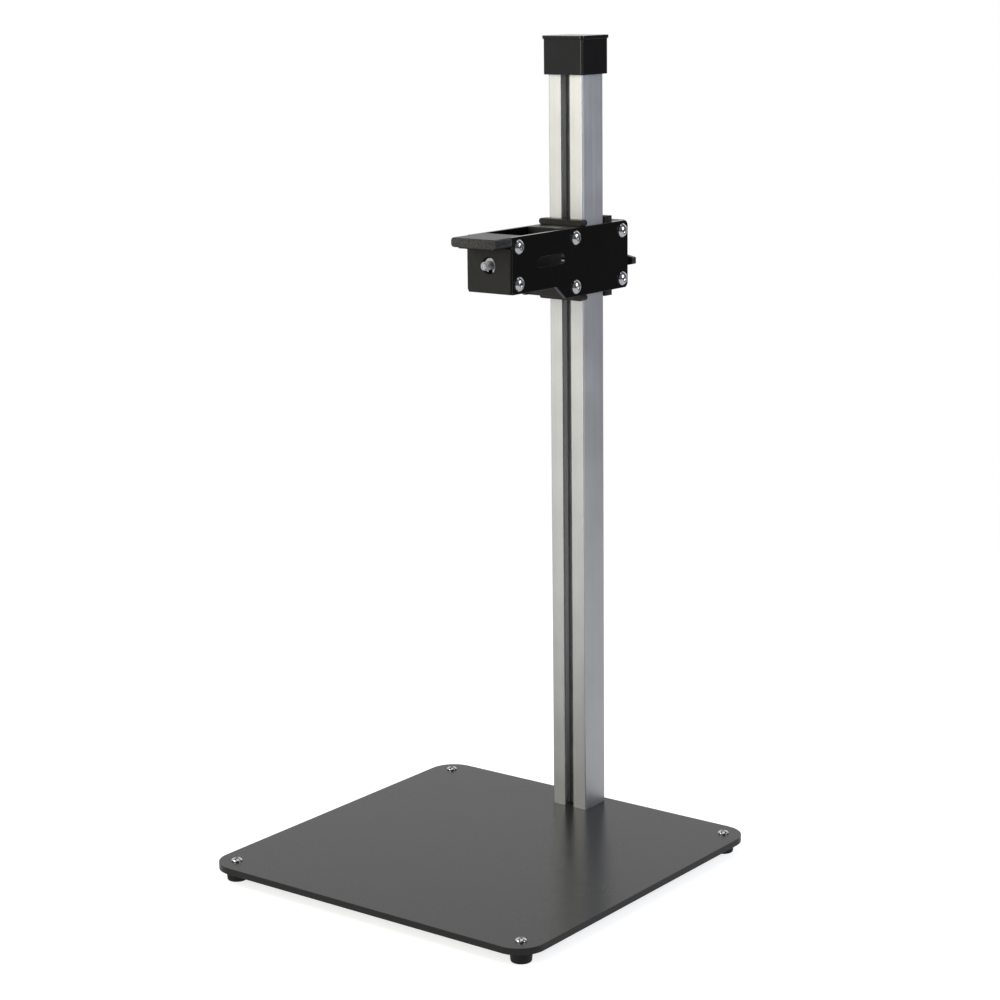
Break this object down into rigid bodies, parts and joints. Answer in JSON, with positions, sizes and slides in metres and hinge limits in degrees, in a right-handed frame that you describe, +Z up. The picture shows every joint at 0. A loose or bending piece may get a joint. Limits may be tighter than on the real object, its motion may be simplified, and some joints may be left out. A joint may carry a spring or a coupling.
{
  "type": "camera copy stand",
  "caption": "Copy stand with a flat baseboard on rubber feet, a slotted aluminium column and a sliding friction arm with a captive mount screw.",
  "frame": {"origin": "centre of the work surface, which is the baseboard's top", "axes": "+X to the right, +Y from the front edge towards the column, +Z up"},
  "size_m": [0.285, 0.311, 0.5921],
  "materials": {
    "powder_coated_steel": "satin black powder coat",
    "black_rubber": "matt moulded rubber",
    "chromed_steel": "bright chrome",
    "zinc_plated_steel": "zinc plate",
    "anodised_aluminium": "satin clear anodised extrusion",
    "moulded_abs": "finely textured black",
    "gloss_black_paint": "gloss black",
    "black_anodised_aluminium": "fine black texture",
    "acetal": "machined dark grey",
    "white_nylon": "natural white",
    "moulded_nylon": "satin black"
  },
  "bodies": {
    "stand": {"base_plate": "powder_coated_steel", "rubber_feet": "black_rubber", "foot_screws": "chromed_steel", "foot_washers": "zinc_plated_steel", "foot_nuts": "zinc_plated_steel", "column": "anodised_aluminium", "column_screws": "zinc_plated_steel", "column_cap": "moulded_abs"},
    "carriage": {"right_side_plate": "gloss_black_paint", "left_side_plate": "gloss_black_paint", "right_plate_bolts": "chromed_steel", "left_plate_bolts": "chromed_steel", "nose_block": "black_anodised_aluminium", "nose_pad": "black_rubber", "mount_face_pad": "black_rubber", "front_block": "black_anodised_aluminium", "rear_block": "black_anodised_aluminium", "front_slide_pad": "acetal", "right_glide_strip": "white_nylon", "left_glide_strip": "white_nylon"},
    "brake": {"brake_lining": "black_rubber", "brake_plate": "acetal"},
    "lock": {"lock_screw": "zinc_plated_steel", "lock_knob": "moulded_nylon"},
    "mount_washer": {"mount_screw_washer": "white_nylon"},
    "mount_screw_set": {"mount_screw": "zinc_plated_steel", "mount_screw_knob": "moulded_nylon", "mount_screw_clip": "zinc_plated_steel"}
  },
  "joints": [
    {"name": "carriage_slide", "type": "slide", "parent": "stand", "child": "carriage", "axis": [0, 0, 1], "range_m": [-0.385, 0.1]},
    {"name": "lock_knob_turn", "type": "hinge", "parent": "brake", "child": "lock", "pos_m": [0, 0.165, 0.41265], "axis": [0, 1, 0], "range_deg": [0, 270]},
    {"name": "brake_slide", "type": "slide", "parent": "carriage", "child": "brake", "axis": [0, 1, 0], "range_m": [0, 0.00075]},
    {"name": "mount_screw_float", "type": "slide", "parent": "carriage", "child": "mount_washer", "axis": [0, 1, 0], "range_m": [0, 0.0055]},
    {"name": "mount_screw_turn", "type": "hinge", "parent": "mount_washer", "child": "mount_screw_set", "pos_m": [0, 0.03, 0.423], "axis": [0, 1, 0], "continuous": true}
  ],
  "couplings": [
    {"joint": "lock_knob_turn", "follows": "brake_slide", "rad_per_m": 6283.2}
  ]
}
